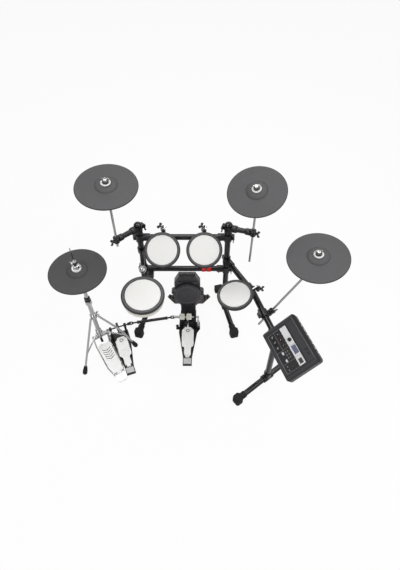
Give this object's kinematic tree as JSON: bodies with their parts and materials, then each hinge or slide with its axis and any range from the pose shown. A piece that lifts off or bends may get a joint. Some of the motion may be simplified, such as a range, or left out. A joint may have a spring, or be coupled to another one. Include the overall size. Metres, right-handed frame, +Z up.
{
  "type": "electronic drum kit",
  "caption": "Electronic drum kit on a black tube rack: rubber drum and cymbal pads, kick tower with a linked double pedal, hi-hat stand and a tilting sound module.",
  "frame": {"origin": "on the floor, on the underside of the kick base plate", "axes": "+X to the drummer's right, +Y away from the drummer, +Z up"},
  "size_m": [1.6368, 1.0946, 1.3721],
  "materials": {
    "black_tube": "semi-gloss powder coat",
    "black_casting": "satin",
    "bolt_black": "satin",
    "boot_rubber": "matt",
    "bright_chrome": "polished",
    "chain_steel": "satin",
    "pale_felt": "felt",
    "cream_felt": "felt",
    "cymbal_rubber": "matt",
    "pad_shell": "satin",
    "pad_head": "matt",
    "snare_white": "gloss",
    "snare_rim": "matt",
    "kick_black": "satin",
    "kick_plate": "satin",
    "kick_rubber": "matt",
    "board_silver": "satin",
    "module_case": "satin",
    "module_panel": "satin",
    "screen": "gloss",
    "knob_black": "matt",
    "button_grey": "satin"
  },
  "bodies": {
    "rack": {"crossbars": "black_tube", "cymbal_arms": "black_casting", "cymbal_booms": "bright_chrome", "cymbal_felts": "pale_felt", "floor_legs": "black_tube", "hihat_frame": "bright_chrome", "hihat_legs": "bright_chrome", "hihat_stand": "bright_chrome", "kick_base": "kick_plate", "kick_pad": "kick_rubber", "kick_tower": "kick_black", "module_mount": "black_casting", "pad_clamps": "black_casting", "pad_rods": "bright_chrome", "pedal_frame": "black_casting", "pedal_spring": "chain_steel", "rack_clamps": "black_casting", "rack_posts": "black_tube", "rubber_feet": "boot_rubber", "slave_frame": "black_casting", "slave_spring": "chain_steel", "wing_arm": "black_tube", "wing_bolts": "bolt_black"},
    "left_crash": {"left_crash": "cymbal_rubber"},
    "right_crash": {"right_crash": "cymbal_rubber"},
    "ride_cymbal": {"ride_cymbal": "cymbal_rubber"},
    "left_tom": {"left_tom_shell": "pad_shell", "left_tom_head": "pad_head"},
    "right_tom": {"right_tom_shell": "pad_shell", "right_tom_head": "pad_head"},
    "floor_tom": {"floor_tom_shell": "pad_shell", "floor_tom_head": "pad_head"},
    "snare": {"snare_shell": "snare_white", "snare_rim": "snare_rim", "snare_head": "pad_head"},
    "pedal": {"pedal_footboard": "board_silver", "pedal_chain": "chain_steel"},
    "main_beater": {"main_beater": "chain_steel", "main_beater_felt": "cream_felt"},
    "slave_pedal": {"slave_footboard": "board_silver", "slave_chain": "chain_steel"},
    "slave_axle": {"slave_axle": "chain_steel"},
    "drive_shaft": {"drive_shaft": "chain_steel"},
    "aux_beater": {"aux_beater": "chain_steel", "aux_beater_felt": "cream_felt"},
    "hihat": {"hihat_pad": "cymbal_rubber", "hihat_rod": "bright_chrome"},
    "hihat_pedal": {"hihat_footboard": "board_silver"},
    "module": {"module_case": "module_case", "module_panel": "module_panel", "module_screen": "screen"},
    "knob_a1": {"knob_a1": "knob_black"},
    "knob_a2": {"knob_a2": "knob_black"},
    "knob_a3": {"knob_a3": "knob_black"},
    "knob_b1": {"knob_b1": "knob_black"},
    "knob_b2": {"knob_b2": "knob_black"},
    "knob_b3": {"knob_b3": "knob_black"},
    "data_dial": {"data_dial": "knob_black"},
    "play_button": {"play_button": "button_grey"},
    "stop_button": {"stop_button": "button_grey"}
  },
  "joints": [
    {"name": "left_crash_swing", "type": "hinge", "parent": "rack", "child": "left_crash", "pos_m": [-0.37322, -0.08429, 1.33194], "axis": [0.9992, 0.0028, -0.0409], "range_deg": [-8, 8], "stiffness_Nm_per_rad": 5},
    {"name": "right_crash_swing", "type": "hinge", "parent": "rack", "child": "right_crash", "pos_m": [0.41081, -0.01267, 1.23114], "axis": [0.9858, -0.0419, 0.1626], "range_deg": [-8, 8], "stiffness_Nm_per_rad": 5},
    {"name": "ride_cymbal_swing", "type": "hinge", "parent": "rack", "child": "ride_cymbal", "pos_m": [0.71983, -0.35399, 1.08785], "axis": [0.9935, -0.006, 0.1139], "range_deg": [-8, 8], "stiffness_Nm_per_rad": 5},
    {"name": "left_tom_tilt", "type": "hinge", "parent": "rack", "child": "left_tom", "pos_m": [-0.129, 0.012, 0.736], "axis": [1, 0, 0], "range_deg": [-2, 25]},
    {"name": "right_tom_tilt", "type": "hinge", "parent": "rack", "child": "right_tom", "pos_m": [0.129, 0.012, 0.736], "axis": [1, 0, 0], "range_deg": [-2, 25]},
    {"name": "floor_tom_tilt", "type": "hinge", "parent": "rack", "child": "floor_tom", "pos_m": [0.34, -0.262, 0.578], "axis": [-0.6114, 0.7913, 0], "range_deg": [-20, 3]},
    {"name": "snare_tilt", "type": "hinge", "parent": "rack", "child": "snare", "pos_m": [-0.248, -0.268, 0.598], "axis": [1, 0, 0], "range_deg": [-8, 15]},
    {"name": "pedal_press", "type": "hinge", "parent": "rack", "child": "pedal", "pos_m": [0.01, -0.37, 0.022], "axis": [-1, 0, 0], "range_deg": [0, 6.46], "stiffness_Nm_per_rad": 20, "springref_deg": -17.19},
    {"name": "main_beater_strike", "type": "hinge", "parent": "rack", "child": "main_beater", "pos_m": [0.01, -0.103, 0.118], "axis": [-1, 0, 0], "range_deg": [0, 55.5], "deforming": ["pedal_spring"]},
    {"name": "slave_press", "type": "hinge", "parent": "rack", "child": "slave_pedal", "pos_m": [-0.39171, -0.43893, 0.022], "axis": [-0.9367, -0.3502, 0], "range_deg": [0, 6.46], "stiffness_Nm_per_rad": 20, "springref_deg": -17.19},
    {"name": "slave_axle_turn", "type": "hinge", "parent": "rack", "child": "slave_axle", "pos_m": [-0.48522, -0.18883, 0.118], "axis": [-0.9367, -0.3502, 0], "range_deg": [0, 55.5], "deforming": ["slave_spring"]},
    {"name": "drive_shaft_turn", "type": "hinge", "parent": "rack", "child": "drive_shaft", "pos_m": [-0.39904, -0.15662, 0.118], "axis": [-0.9849, -0.1731, 0], "range_deg": [0, 55.5]},
    {"name": "aux_beater_strike", "type": "hinge", "parent": "rack", "child": "aux_beater", "pos_m": [-0.04, -0.103, 0.118], "axis": [-1, 0, 0], "range_deg": [0, 55.5]},
    {"name": "hihat_press", "type": "hinge", "parent": "rack", "child": "hihat_pedal", "pos_m": [-0.45327, -0.49268, 0.022], "axis": [-0.8438, -0.5367, 0], "range_deg": [0, 2.77], "stiffness_Nm_per_rad": 30, "springref_deg": -14.32},
    {"name": "hihat_close", "type": "slide", "parent": "rack", "child": "hihat", "axis": [0, 0, -1], "range_m": [0, 0.012]},
    {"name": "module_tilt", "type": "hinge", "parent": "rack", "child": "module", "pos_m": [0.62083, -0.66329, 0.62854], "axis": [0.3584, -0.9336, 0], "range_deg": [-12, 15]},
    {"name": "knob_a1_turn", "type": "hinge", "parent": "module", "child": "knob_a1", "pos_m": [0.51142, -0.6046, 0.66414], "axis": [-0.5748, -0.2206, 0.788], "range_deg": [-140, 140]},
    {"name": "knob_a2_turn", "type": "hinge", "parent": "module", "child": "knob_a2", "pos_m": [0.52432, -0.63821, 0.66414], "axis": [-0.5748, -0.2206, 0.788], "range_deg": [-140, 140]},
    {"name": "knob_a3_turn", "type": "hinge", "parent": "module", "child": "knob_a3", "pos_m": [0.53722, -0.67182, 0.66414], "axis": [-0.5748, -0.2206, 0.788], "range_deg": [-140, 140]},
    {"name": "knob_b1_turn", "type": "hinge", "parent": "module", "child": "knob_b1", "pos_m": [0.53937, -0.59387, 0.68754], "axis": [-0.5748, -0.2206, 0.788], "range_deg": [-140, 140]},
    {"name": "knob_b2_turn", "type": "hinge", "parent": "module", "child": "knob_b2", "pos_m": [0.55227, -0.62748, 0.68754], "axis": [-0.5748, -0.2206, 0.788], "range_deg": [-140, 140]},
    {"name": "knob_b3_turn", "type": "hinge", "parent": "module", "child": "knob_b3", "pos_m": [0.56517, -0.66109, 0.68754], "axis": [-0.5748, -0.2206, 0.788], "range_deg": [-140, 140]},
    {"name": "data_dial_turn", "type": "hinge", "parent": "module", "child": "data_dial", "pos_m": [0.59288, -0.63653, 0.71463], "axis": [-0.5748, -0.2206, 0.788], "continuous": true},
    {"name": "play_button_push", "type": "slide", "parent": "module", "child": "play_button", "axis": [0.5748, 0.2206, -0.788], "range_m": [0, 0.0015], "stiffness_N_per_m": 600, "springref_m": -0.0015},
    {"name": "stop_button_push", "type": "slide", "parent": "module", "child": "stop_button", "axis": [0.5748, 0.2206, -0.788], "range_m": [0, 0.0015], "stiffness_N_per_m": 600, "springref_m": -0.0015}
  ],
  "couplings": [
    {"joint": "main_beater_strike", "follows": "pedal_press", "ratio": 8.5211},
    {"joint": "slave_axle_turn", "follows": "slave_press", "ratio": 8.5211},
    {"joint": "drive_shaft_turn", "follows": "slave_press", "ratio": 8.5211},
    {"joint": "aux_beater_strike", "follows": "slave_press", "ratio": 8.5211},
    {"joint": "hihat_close", "follows": "hihat_press", "m_per_rad": 0.24732}
  ]
}
